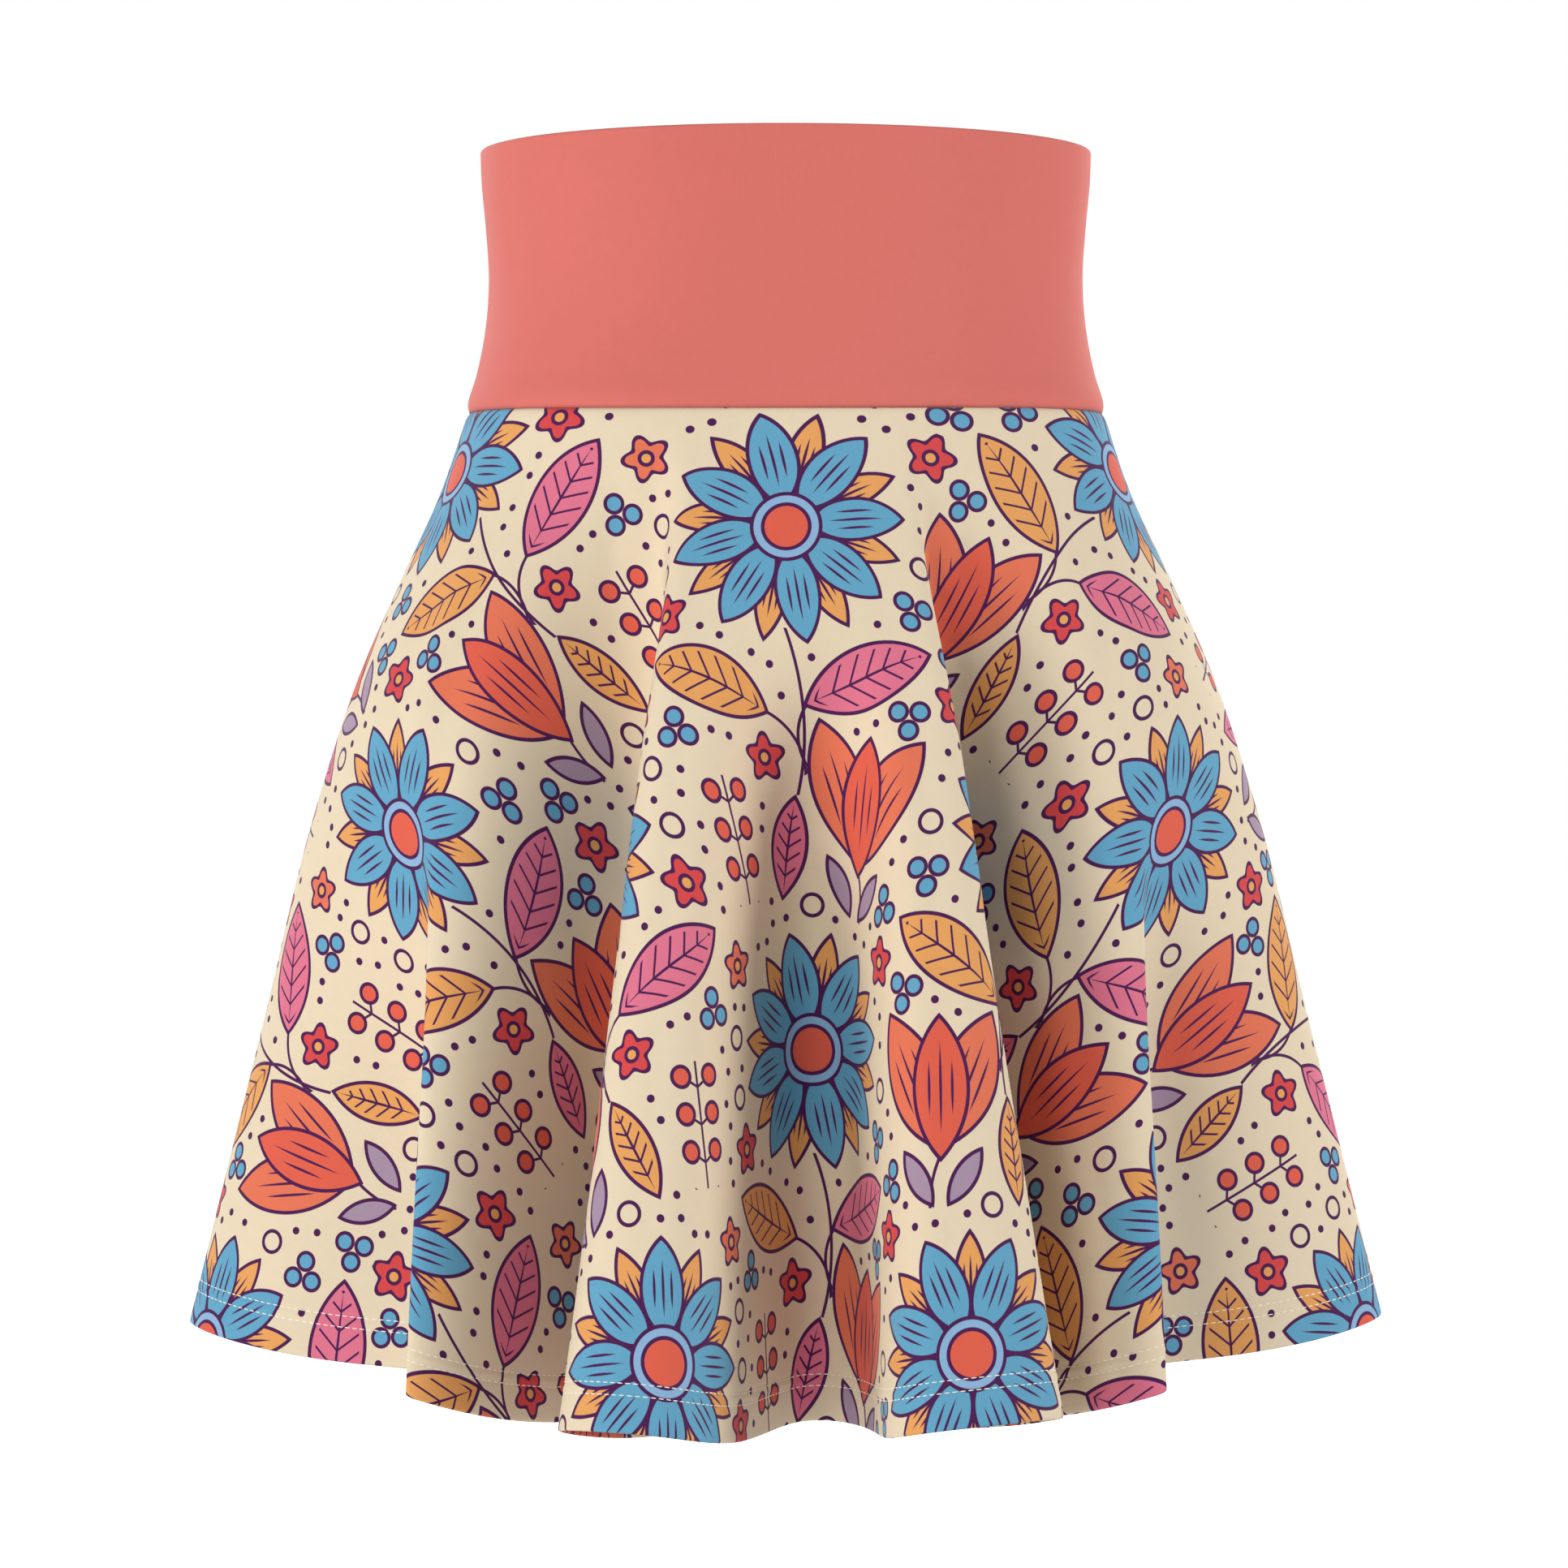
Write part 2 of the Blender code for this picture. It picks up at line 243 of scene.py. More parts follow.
def hang(rings, rows):
    # A line down a fold keeps its length on the flat cut, slip round the circle included, and what it doesn't
    # use sideways it drops. Also gives the angle on the cut, 0 to pi from side seam to side seam.
    points = np.zeros(rings.shape[:2] + (3,))
    points[:, :, :2] = rings
    points[0, :, 2] = seamHeight(rings[0, :, 0]) + cut["seamLap"]
    along = lengthsAlong(rings)
    cutAngle = np.pi * along / along[:, -1:]
    for k in range(1, len(rows)):
        strip = rows[k] - rows[k - 1]
        slip = drape["slipShare"] * (cut["seamRadius"] + rows[k]) * (cutAngle[k] - cutAngle[k - 1])
        across = np.linalg.norm(rings[k] - rings[k - 1], axis=1)
        least = (drape["leastDrop"] * strip) ** 2
        drop = np.sqrt(np.maximum(strip**2 + slip**2 - across**2, least))
        aside = rings[k, :, 0] / halfAxes(reaches, rows[k])[0]
        lift = np.where(aside < 0.0, drape["leftLift"], drape["rightLift"])
        drop *= 1.0 - lift * np.abs(aside) ** drape["liftBend"]
        points[k, :, 2] = points[k - 1, :, 2] - drop
    return points, cutAngle


def gridNormals(grid):
    # the cross product of down and to the right points outwards
    return unit(np.cross(np.gradient(grid, axis=0), np.gradient(grid, axis=1)))


def hump(distance, width):
    # 1 at the middle, falling off as a Gaussian
    return np.exp(-((distance / width) ** 2))


def seamRelief(sizes, fromSeam, grid):
    # how far the cloth turns in at the waist seam and at the side seams
    along = lengthsAlong(grid)
    fromSide = np.minimum(along, along[:, -1:] - along)
    atSeam = sizes["seamDitch"] * hump(fromSeam, sizes["seamDitchWidth"])
    return -atSeam - sizes["sideDitch"] * hump(fromSide, sizes["sideDitchWidth"])


# Skirt panels

skirt = {
    "thickness": 0.0008,
    "hemRound": 0.0010,  # radius of the fold at the hem's edge
    "hemRoundSteps": 6,
    "seamRows": 0.0015,  # spacing of rows from the waist seam down to seamFine
    "seamFine": 0.012,
    "rows": 0.0042,
    "hemRows": 0.0010,  # the same from hemFine to hemPlain above the hem
    "hemFine": 0.023,
    "hemPlain": 0.011,
    "plainRows": 5,
    "edgeColumns": (0.0, 0.10, 0.24, 0.45, 0.70),  # the first column, split beside a side seam
    "seamDitch": 0.0007,
    "seamDitchWidth": 0.0016,
    "sideDitch": 0.0006,
    "sideDitchWidth": 0.0014,
    "stitchRows": (0.0185, 0.0140),  # above the hem
    "stitchDent": 0.00022,
    "stitchDentWidth": 0.0009,
    "hemRidge": 0.00018,  # between the two rows
    "hemRidgeShare": 0.3,  # of the space between them
    "creaseEnds": 0.4,  # share of a crease over which each of its ends fades in
}

# Soft creases: the place in degrees on the cut from the panel's middle, how far down they start and end, half
# their width, their lean in degrees down the cloth, and their depth (a ridge is below 0)
frontCreases = np.array([
    (-71.0, 0.004, 0.090, 0.0060, 3.0, 0.0007),
    (-58.0, 0.030, 0.240, 0.0110, -4.0, 0.0011),
    (-47.0, 0.002, 0.045, 0.0040, 1.0, 0.0004),
    (-39.5, 0.150, 0.360, 0.0130, 3.0, 0.0014),
    (-30.0, 0.006, 0.110, 0.0060, -2.0, 0.0006),
    (-19.0, 0.200, 0.385, 0.0100, 2.0, -0.0010),
    (-12.0, 0.003, 0.050, 0.0045, 1.0, 0.0005),
    (-3.0, 0.060, 0.230, 0.0120, 2.0, 0.0010),
    (4.0, 0.240, 0.390, 0.0090, -3.0, -0.0009),
    (9.0, 0.002, 0.065, 0.0050, -1.0, 0.0005),
    (21.0, 0.120, 0.330, 0.0120, 3.0, 0.0012),
    (29.0, 0.004, 0.085, 0.0055, 2.0, 0.0006),
    (38.0, 0.210, 0.380, 0.0110, -3.0, 0.0011),
    (49.0, 0.020, 0.170, 0.0085, 2.0, 0.0009),
    (61.0, 0.180, 0.370, 0.0140, 4.0, 0.0014),
    (74.0, 0.003, 0.075, 0.0055, -2.0, 0.0006),
])
backCreases = np.array([
    (-76.0, 0.003, 0.100, 0.0060, 3.0, 0.0007),
    (-62.0, 0.140, 0.350, 0.0120, -3.0, 0.0012),
    (-51.0, 0.004, 0.060, 0.0045, 1.0, 0.0005),
    (-40.0, 0.060, 0.260, 0.0110, 3.0, 0.0010),
    (-27.0, 0.220, 0.385, 0.0100, -2.0, -0.0010),
    (-18.0, 0.003, 0.090, 0.0055, 2.0, 0.0006),
    (-6.0, 0.130, 0.320, 0.0120, 2.0, 0.0011),
    (5.0, 0.002, 0.055, 0.0045, -1.0, 0.0005),
    (16.0, 0.190, 0.370, 0.0120, -3.0, 0.0012),
    (27.0, 0.005, 0.120, 0.0065, 2.0, 0.0007),
    (41.0, 0.080, 0.290, 0.0130, 3.0, 0.0012),
    (53.0, 0.003, 0.070, 0.0050, -2.0, 0.0005),
    (66.0, 0.200, 0.380, 0.0110, 2.0, -0.0009),
    (78.0, 0.010, 0.150, 0.0075, -3.0, 0.0008),
])


def skirtRows():
    fine = np.arange(0.0, skirt["seamFine"], skirt["seamRows"])
    stitched, plain = cut["length"] - skirt["hemFine"], cut["length"] - skirt["hemPlain"]
    count = round((stitched - skirt["seamFine"]) / skirt["rows"])
    middle = np.linspace(skirt["seamFine"], stitched, count, endpoint=False)
    hem = np.linspace(stitched, plain, round((plain - stitched) / skirt["hemRows"]), endpoint=False)
    edge = np.linspace(plain, cut["length"] - skirt["hemRound"], skirt["plainRows"])
    return np.concatenate([fine, middle, hem, edge])


def creaseRelief(creases, angle, down):
    # each crease is a hump across it times a window down the cloth with eased ends
    relief = np.zeros(angle.shape)
    radius = cut["seamRadius"] + down
    for middle, top, bottom, width, lean, depth in creases:
        share = (down - top) / (bottom - top)
        window = ease(share / skirt["creaseEnds"]) * ease((1.0 - share) / skirt["creaseEnds"])
        across = radius * (angle - np.radians(middle + lean * (share - 0.5)))
        relief -= depth * window * hump(across, width)
    return relief


def hemRelief(up):
    # a dent at each row of stitches and a low ridge between them, by the distance above the hem
    upper, lower = skirt["stitchRows"]
    dents = sum(hump(up - row, skirt["stitchDentWidth"]) for row in skirt["stitchRows"])
    ridge = hump(up - (upper + lower) / 2.0, (upper - lower) * skirt["hemRidgeShare"])
    return skirt["hemRidge"] * ridge - skirt["stitchDent"] * dents


def splitEdges(grid):
    # the grid with its outermost columns split, so that the cloth can turn in at the side seams
    last = grid.shape[1] - 1
    parts = np.array(skirt["edgeColumns"])
    places = np.concatenate([parts, np.arange(1, last), last - parts[::-1]])
    i = np.minimum(places.astype(int), last - 1)
    part = (places - i).reshape((1, -1) + (1,) * (grid.ndim - 2))
    return grid[:, i] * (1.0 - part) + grid[:, i + 1] * part


def panelSurface(rings, rows, creases):
    # the hanging grid, moved along its normals by the creases, the ditch at each seam and the hem's relief
    grid, cutAngle = hang(rings, rows)
    grid, cutAngle = splitEdges(grid), splitEdges(cutAngle)
    angle = cutAngle - np.pi / 2.0
    down = np.broadcast_to(rows[:, None], angle.shape)
    relief = creaseRelief(creases, angle, down) + hemRelief(cut["length"] - down)
    relief += seamRelief(skirt, down, grid)
    grid = grid + gridNormals(grid) * relief[:, :, None]
    for edge, inner in ((0, 1), (-1, -2)):
        grid[:, edge] += unit(grid[:, edge] - grid[:, inner]) * cut["seamLap"] / 2.0
    return grid, angle, down


def turnedHem(grid, angle, down):
    # The cloth goes on round the hem's edge, a half circle, and up inside as a second layer. Its distance
    # down the cut runs on, so that the print does too.
    normals = gridNormals(grid)
    radius = skirt["hemRound"]
    hanging = unit(grid[-1] - grid[-2])
    bend = np.linspace(0.0, np.pi, skirt["hemRoundSteps"] + 1)[1:, None, None]
    edge = grid[-1] + hanging * radius * np.sin(bend) - normals[-1] * radius * (1.0 - np.cos(bend))
    edgeDown = down[-1] + radius * bend[:, :, 0] + np.zeros_like(down[-1])
    up = cut["length"] - down[:, 0]
    layer = np.flatnonzero(up < cut["hemDepth"])[::-1][1:]
    inside = grid[layer] - normals[layer] * 2.0 * radius
    insideDown = edgeDown[-1] + (down[-1] - down[layer])
    allAngle = np.concatenate([angle, np.repeat(angle[-1:], len(bend), axis=0), angle[layer]])
    return np.concatenate([grid, edge, inside]), allAngle, np.concatenate([down, edgeDown, insideDown])


def flatCut(angle, down):
    # where each point lies on the flat half circle, upright at the panel's middle
    radius = cut["seamRadius"] + down
    return np.stack([radius * np.sin(angle), -radius * np.cos(angle)], axis=-1)


def makeSheet(name, grid, flat, materials, thickness):
    rows, columns = grid.shape[:2]
    corner = np.arange(rows * columns).reshape(rows, columns)
    faces = np.stack([corner[:-1, :-1], corner[1:, :-1], corner[1:, 1:], corner[:-1, 1:]], axis=-1)
    faces = faces.reshape(-1, 4)
    sheet = addMesh(name, grid, faces.tolist(), materials)
    uv = sheet.data.uv_layers.new(name="flatCut")
    uv.data.foreach_set("uv", flat.reshape(-1, 2)[faces.ravel()].ravel().astype(np.float32))
    solidify = sheet.modifiers.new("thickness", "SOLIDIFY")
    solidify.thickness = thickness
    solidify.offset = -1.0
    solidify.use_even_offset = False
    solidify.use_quality_normals = True
    solidify.material_offset = len(materials) - 1
    return sheet


# Hem stitches

stitch = {
    "pitch": 0.0030,
    "length": 0.0022,
    "radius": 0.00024,
    "flatness": 0.7,
    "stations": 5,
    "sides": 6,
    "proud": 0.00006,
    "ahead": 0.0005,  # how far on the row's direction is read
}


def stitchRow(grid, down, above):
    # evenly spaced points on the panel's grid, each with the row's direction there and the normal
    wanted = cut["length"] - above
    k = np.searchsorted(down[:, 0], wanted) - 1
    part = (wanted - down[k, 0]) / (down[k + 1, 0] - down[k, 0])
    normals = gridNormals(grid)
    line = grid[k] * (1.0 - part) + grid[k + 1] * part
    facing = normals[k] * (1.0 - part) + normals[k + 1] * part
    along = lengthsAlong(line)
    places = np.arange(stitch["pitch"], along[-1] - stitch["pitch"], stitch["pitch"])

    def readAt(at, values):
        return np.stack([np.interp(at, along, values[:, i]) for i in range(3)], axis=-1)

    points = readAt(places, line)
    return points, unit(readAt(places + stitch["ahead"], line) - points), unit(readAt(places, facing))


def makeStitches(name, panel, down, material):
    # A stitch is a grain: rings of points along it, the radius sqrt(1 - u^2) for u from -1 to 1.
    points, ahead, outward = (np.concatenate(part) for part in zip(
        *[stitchRow(panel, down, above) for above in skirt["stitchRows"]]
    ))
    sideways = np.cross(outward, ahead)
    sides, stations = stitch["sides"], stitch["stations"]
    u = np.cos(np.linspace(np.pi, 0.0, stations + 2))
    around = np.arange(sides) * 2.0 * np.pi / sides
    ringU, ringA = (part.ravel() for part in np.meshgrid(u[1:-1], around, indexing="ij"))
    ringU = np.concatenate([[-1.0], ringU, [1.0]])
    swell = np.sqrt(np.maximum(1.0 - ringU**2, 0.0)) * stitch["radius"]
    high = swell * np.concatenate([[0.0], np.cos(ringA), [0.0]]) * stitch["flatness"] + stitch["proud"]
    wide = swell * np.concatenate([[0.0], np.sin(ringA), [0.0]])
    far = ringU * stitch["length"] / 2.0
    vertices = (
        points[:, None] + ahead[:, None] * far[:, None] + outward[:, None] * high[:, None]
        + sideways[:, None] * wide[:, None]
    )
    i = np.arange(sides)
    j = (i + 1) % sides
    near = 1 + np.arange(stations - 1)[:, None] * sides
    far = near + sides
    quads = np.stack([near + i, near + j, far + j, far + i], axis=-1).reshape(-1, 4)
    last = 1 + stations * sides
    firstCap = np.stack([np.zeros(sides, int), 1 + j, 1 + i], axis=1)
    lastCap = np.stack([np.full(sides, last), last - sides + i, last - sides + j], axis=1)
    shift = np.arange(len(points))[:, None, None] * (last + 1)
    faces = (quads + shift).reshape(-1, 4).tolist()
    faces += (firstCap + shift).reshape(-1, 3).tolist() + (lastCap + shift).reshape(-1, 3).tolist()
    return addMesh(name, vertices, faces, [material])


# Waistband

band = {
    "thickness": 0.0009,
    "fold": 0.0011,  # radius of the fold along its top edge
    "foldSteps": 8,
    "rows": 0.0015,
    "columns": 200,
    "seamDitch": 0.0008,
    "seamDitchWidth": 0.0018,
    "sideDitch": 0.0006,
    "sideDitchWidth": 0.0014,
}

# height, half width, half depth, from the seam up to the rim
bandSections = np.array([
    (-0.0550, 0.1292, 0.0970),
    (-0.0515, 0.1291, 0.0969),
    (-0.0400, 0.1258, 0.0943),
    (-0.0200, 0.1219, 0.0912),
    (0.0000, 0.1206, 0.0902),
    (0.0200, 0.1218, 0.0913),
    (0.0400, 0.1236, 0.0928),
    (0.0515, 0.1240, 0.0932),
])

# Soft hollows in the band: turn, height, half width round the band in degrees, half height, depth
bandHollows = np.array([
    (-64.0, 0.012, 9.0, 0.034, 0.0007),
    (-31.0, -0.018, 13.0, 0.022, 0.0005),
    (6.0, 0.020, 17.0, 0.030, 0.0005),
    (27.0, -0.010, 8.0, 0.040, 0.0009),
    (55.0, 0.004, 11.0, 0.030, 0.0006),
    (118.0, -0.012, 10.0, 0.030, 0.0008),
    (151.0, 0.016, 12.0, 0.026, 0.0006),
    (186.0, -0.020, 15.0, 0.020, 0.0005),
    (214.0, 0.010, 9.0, 0.036, 0.0008),
    (243.0, -0.006, 11.0, 0.030, 0.0006),
])


def bandGrid(middle):
    # Ellipses stacked along the smooth curve of the sections. The profile runs from the seam's inner edge up
    # inside, over the fold, a half circle, and down outside. Also gives the places on the flat band.
    rim, seam = bandSections[-1, 0], bandSections[0, 0]
    top = rim - band["fold"]
    heights = np.linspace(seam, top, round((top - seam) / band["rows"]))
    lap = np.degrees(cut["seamLap"] / 2.0 / bandSections[-1, 2])
    edge = np.array(skirt["edgeColumns"]) * 180.0 / band["columns"] - lap
    inner = np.linspace(-90.0, 90.0, band["columns"] + 1)[1:-1]
    turns = middle + np.concatenate([-90.0 + edge, inner, 90.0 - edge[::-1]])
    halfWidth, halfDepth = halfAxes(bandSections, heights)
    angle = np.radians(turns)
    x = halfWidth[:, None] * np.sin(angle)
    y = -halfDepth[:, None] * np.cos(angle)
    dip = (seamHeight(bandSections[0, 1] * np.sin(angle)) - seam)[None, :]
    share = ((rim - heights) / (rim - seam))[:, None]
    outer = np.stack([x, y, heights[:, None] + share * dip], axis=-1)[::-1]
    normals = gridNormals(outer)
    alongRound = lengthsAlong(outer)
    relief = seamRelief(band, (heights[::-1] - seam)[:, None], outer)
    for turn, height, wide, high, depth in bandHollows:
        relief -= depth * hump(turns - turn, wide)[None, :] * hump(heights[::-1] - height, high)[:, None]
    outer = outer + normals * relief[:, :, None]
    radius = band["fold"]
    bend = np.linspace(np.pi, 0.0, band["foldSteps"] + 1)[1:-1, None, None]
    rising = unit(outer[0] - outer[1])
    edgeRows = outer[0] + rising * radius * np.sin(bend) - normals[0] * radius * (1.0 - np.cos(bend))
    inside = (outer - normals * 2.0 * radius)[::-1]
    grid = np.concatenate([inside, edgeRows, outer])
    alongProfile = np.mean(lengthsAlong(np.swapaxes(grid, 0, 1)), axis=0)
    acrossFlat = np.mean(alongRound, axis=0)
    return grid, np.stack(np.broadcast_arrays(acrossFlat[None, :], -alongProfile[:, None]), axis=-1)


# Finishes. Colours are given as they look on a screen, 0 to 255.

colours = {
    "cream": (243, 223, 191),
    "plum": (78, 16, 82),
    "blue": (103, 172, 205),
    "paleBlue": (148, 188, 224),
    "coral": (240, 122, 88),
    "deepCoral": (236, 100, 76),
    "amber": (243, 170, 96),
    "pink": (235, 122, 148),
    "red": (226, 74, 74),
    "violet": (176, 150, 172),
    "bandCoral": (229, 119, 108),
    "wrongSide": (250, 240, 224),
    "thread": (246, 238, 222),
    "floor": (228, 228, 228),
}


def screenColour(name):
    # the screen value v, 0 to 1, as light: ((v + 0.055) / 1.055)^2.4, or v / 12.92 where it is dark
    values = np.array(colours[name]) / 255.0
    linear = np.where(values > 0.04045, ((values + 0.055) / 1.055) ** 2.4, values / 12.92)
    return tuple(linear.tolist()) + (1.0,)


class Term:
    # what a node gives; arithmetic with it adds nodes to its tree
    def __init__(self, tree, socket):
        self.tree = tree
        self.socket = socket

    def math(self, operation, *values, clamp=False):
        return addNode(self.tree, "Math", self, *values, operation=operation, use_clamp=clamp)

    def vector(self, operation, *values, gives="Vector"):
        return addNode(self.tree, "VectorMath", self, *values, gives=gives, operation=operation)

    def __add__(self, value):
        return self.math("ADD", value)

    def __sub__(self, value):
        return self.math("SUBTRACT", value)

    def __mul__(self, value):
        return self.math("MULTIPLY", value)

    def __abs__(self):
        return self.math("ABSOLUTE")

    def distance(self, place):
        return self.vector("DISTANCE", place, gives="Value")

    def length(self):
        return self.vector("LENGTH", gives="Value")

    def folded(self):
        # without its signs
        return self.vector("ABSOLUTE")

    def parts(self):
        x = addNode(self.tree, "SeparateXYZ", self, gives="X")
        return x, Term(self.tree, x.socket.node.outputs["Y"])


def plug(tree, socket, value):
    if isinstance(value, Term):
        tree.links.new(value.socket, socket)
    else:
        socket.default_value = value


def addNode(tree, kind, *values, gives=0, sockets=None, **settings):
    # values go to its sockets in their order, or by name
    node = tree.nodes.new("ShaderNode" + kind)
    for name, setting in settings.items():
        setattr(node, name, setting)
    for socket, value in zip(node.inputs, values):
        plug(tree, socket, value)
    for name, value in (sockets or {}).items():
        plug(tree, node.inputs[name], value)
    return Term(tree, node.outputs[gives])


def joined(x, y):
    return addNode(x.tree, "CombineXYZ", x, y)


def mixed(tree, mask, under, over):
    node = tree.nodes.new("ShaderNodeMix")
    node.data_type = "RGBA"
    for socket, value in ((0, mask), (6, under), (7, over)):
        plug(tree, node.inputs[socket], value)
    return Term(tree, node.outputs[2])


def shaded(tree, colour, shade):
    if isinstance(colour, tuple):
        colour = colour[:3]
    return addNode(tree, "VectorMath", colour, operation="SCALE", sockets={"Scale": shade})


def newGroup(name, inputs, outputs):
    tree = bpy.data.node_groups.new(name, "ShaderNodeTree")
    for way, sockets in (("INPUT", inputs), ("OUTPUT", outputs)):
        for socketName, kind in sockets:
            tree.interface.new_socket(socketName, in_out=way, socket_type="NodeSocket" + kind)
    source, result = tree.nodes.new("NodeGroupInput"), tree.nodes.new("NodeGroupOutput")
    return tree, [Term(tree, source.outputs[socketName]) for socketName, _ in inputs], result.inputs


def newMaterial(name, finish):
    material = bpy.data.materials.new(name)
    material.use_nodes = True
    tree = material.node_tree
    sockets = tree.nodes["Principled BSDF"].inputs
    for socketName, value in finish.items():
        sockets[socketName].default_value = value
    return material, tree, sockets


# The print: a half-drop repeat of a daisy on its stem, a tulip, leaves, a sprig of berries, blossoms, discs,
# rings and dots. Its sizes are in millimetres before it is scaled.

printed = {
    "scale": 1.08,
    "width": 112.0,  # of a column of the repeat; every other column is mirrored
    "height": 190.0,  # of a repeat down the column; the next column drops by half of it
    "outline": 0.69,  # how far the outline reaches to each side of a shape's edge
    "penLine": 0.50,
    "stemLine": 0.6,
    "veinLine": 0.4,
    "ringLine": 0.7,
    "sharp": 6.0,  # steps of the mask in a millimetre
    "strokePoints": 12,  # that the room beside a stroke is measured from
}


def almond(place, halfLength, halfWidth, rounding=0.0):
    # distance from an almond lying along x: two arcs that meet at its tips, each part of a circle of radius
    # r = c + b about (0, -c), where c = (a^2 - b^2) / (2 b), for its half length a and half width b
    a, b = halfLength - rounding, halfWidth - rounding
    centre = (a * a - b * b) / (2.0 * b)
    return place.distance((0.0, -centre, 0.0)) - (centre + b + rounding)


def localPlace(place, x, y, turn):
    # the place seen from a motif's own middle and turn
    rotation = (0.0, 0.0, math.radians(turn))
    return addNode(place.tree, "Mapping", place, (x, y, 0.0), rotation, vector_type="TEXTURE")


class PrintBrush:
    # paints one shape after another over the colour so far; a shape is its signed distance in millimetres
    def __init__(self, ground):
        self.colour = screenColour(ground)

    def paint(self, shape, colour, grow):
        sharp = printed["sharp"]
        mask = shape.math("MULTIPLY_ADD", -sharp, 0.5 + grow * sharp, clamp=True)
        if isinstance(colour, str):
            colour = screenColour(colour)
        self.colour = mixed(shape.tree, mask, self.colour, colour)

    def ink(self, shape, halfWidth=0.0):
        self.paint(shape, "plum", halfWidth)

    def fill(self, shape, colour):
        # the outline reaches past the shape's edge and then as far inside it
        self.ink(shape, printed["outline"])
        self.paint(shape, colour, -printed["outline"])


daisy = {
    "petals": 8,
    "turn": 11.0,
    "blue": (25.5, 16.0, 8.2),  # from the middle to a petal's own, its half length and half width
    "amber": (26.0, 13.5, 5.8),  # the same for the petals behind, half a step on
    "rounding": 3.5,
    "rim": 12.6,
    "eye": 8.6,
    "reach": 41.5,
    "lines": (0.62, 0.42, 0.4),  # half lengths of the long and short pen lines, and how far aside, as shares
}
tulip = {  # place is x, y and turn, and size is half length, half width and rounding
    "leaf": {"place": (9.0, -32.4, 58.0), "size": (11.4, 4.1, 0.0)},
    "outer": {"place": (10.8, 1.8, 66.0), "size": (25.8, 11.0, 2.4), "lines": (16.0, 9.0, 2.0, 4.4)},
    "middle": {"rise": -1.2, "size": (24.0, 10.1, 2.4), "lines": (16.0, 9.5, 0.0, 4.2)},
}
leafLines = {
    "midrib": 0.86,  # of the leaf's half length
    "vein": 0.14,  # half the step from one side vein to the next, of the same
    "slant": 0.9,  # how far a vein runs along the leaf for a step aside
    "square": 0.74,  # of a step along the leaf, measured square to a vein
    "margin": 2.6,  # the veins end this far inside the edge
}
blossom = {  # shares of its size
    "lobes": 5.0,
    "lobe": 0.22,
    "square": 0.85,  # of a step along the radius, measured square to the edge
    "eye": 0.34,
}


def inkPetal(brush, petal, long, short, start, aside):
    # a long pen line down the petal and a shorter one to each side of it
    brush.ink(almond(petal, long, printed["penLine"]))
    beside = petal.vector("SUBTRACT", (start, aside, 0.0)).folded()
    brush.ink(almond(beside, short, printed["penLine"]))


def paintDaisy(brush, place):
    # petals over as many more, worked out once: the angle round the middle is wrapped into one petal's share,
    # and the place in a petal is (radius, radius * angle)
    local = localPlace(place, *daisyPlace, daisy["turn"])
    across, up = local.parts()
    angle, radius = up.math("ARCTAN2", across), local.length()
    half = math.pi / daisy["petals"]
    long, short, aside = daisy["lines"]
    for colour, shift in (("amber", half), ("blue", 0.0)):
        middle, halfLength, halfWidth = daisy[colour]
        wrapped = (angle + shift).math("WRAP", half, -half)
        petal = joined(radius - middle, radius * wrapped).folded()
        brush.fill(almond(petal, halfLength, halfWidth, daisy["rounding"]), colour)
        inkPetal(brush, petal, halfLength * long, halfLength * short, 0.0, halfWidth * aside)
    brush.fill(radius - daisy["rim"], "paleBlue")
    brush.fill(radius - daisy["eye"], "deepCoral")


def paintLeaf(brush, place, x, y, turn, halfLength, halfWidth, colour):
    # an almond with a midrib and slanting side veins, lines at equal steps of x - slant * |y|
    local = localPlace(place, x, y, turn)
    folded = local.folded()
    shape = almond(folded, halfLength, halfWidth)
    brush.fill(shape, colour)
    brush.ink(almond(folded, halfLength * leafLines["midrib"], printed["penLine"]))
    along, _ = local.parts()
    _, aside = folded.parts()
    slanted = aside.math("MULTIPLY_ADD", -leafLines["slant"], along)
    toVein = slanted.math("PINGPONG", halfLength * leafLines["vein"]) * leafLines["square"]
    brush.ink(toVein.math("MAXIMUM", shape + leafLines["margin"]), printed["veinLine"])


def paintTulip(brush, place):
    # two outer petals, one and its mirror image, over two small leaves, with a middle petal in front
    across, up = localPlace(place, *tulipPlace).parts()
    mirrored = joined(abs(across), up)
    for name, colour in (("leaf", "violet"), ("outer", "coral")):
        petal = localPlace(mirrored, *tulip[name]["place"]).folded()
        brush.fill(almond(petal, *tulip[name]["size"]), colour)
    inkPetal(brush, petal, *tulip["outer"]["lines"])
    petal = joined(up - tulip["middle"]["rise"], across).folded()
    brush.fill(almond(petal, *tulip["middle"]["size"]), "deepCoral")
    inkPetal(brush, petal, *tulip["middle"]["lines"])


def paintBlossom(brush, place, x, y, colour, size):
    # the radius less size * (1 + lobe * cos(lobes * angle))
    local = place.vector("SUBTRACT", (x, y, 0.0))
    across, up = local.parts()
    radius = local.length()
    wave = (across.math("ARCTAN2", up) * blossom["lobes"]).math("COSINE")
    edge = wave.math("MULTIPLY_ADD", blossom["lobe"] * size, size)
    brush.fill((radius - edge) * blossom["square"], colour)
    brush.fill(radius - size * blossom["eye"], "amber")


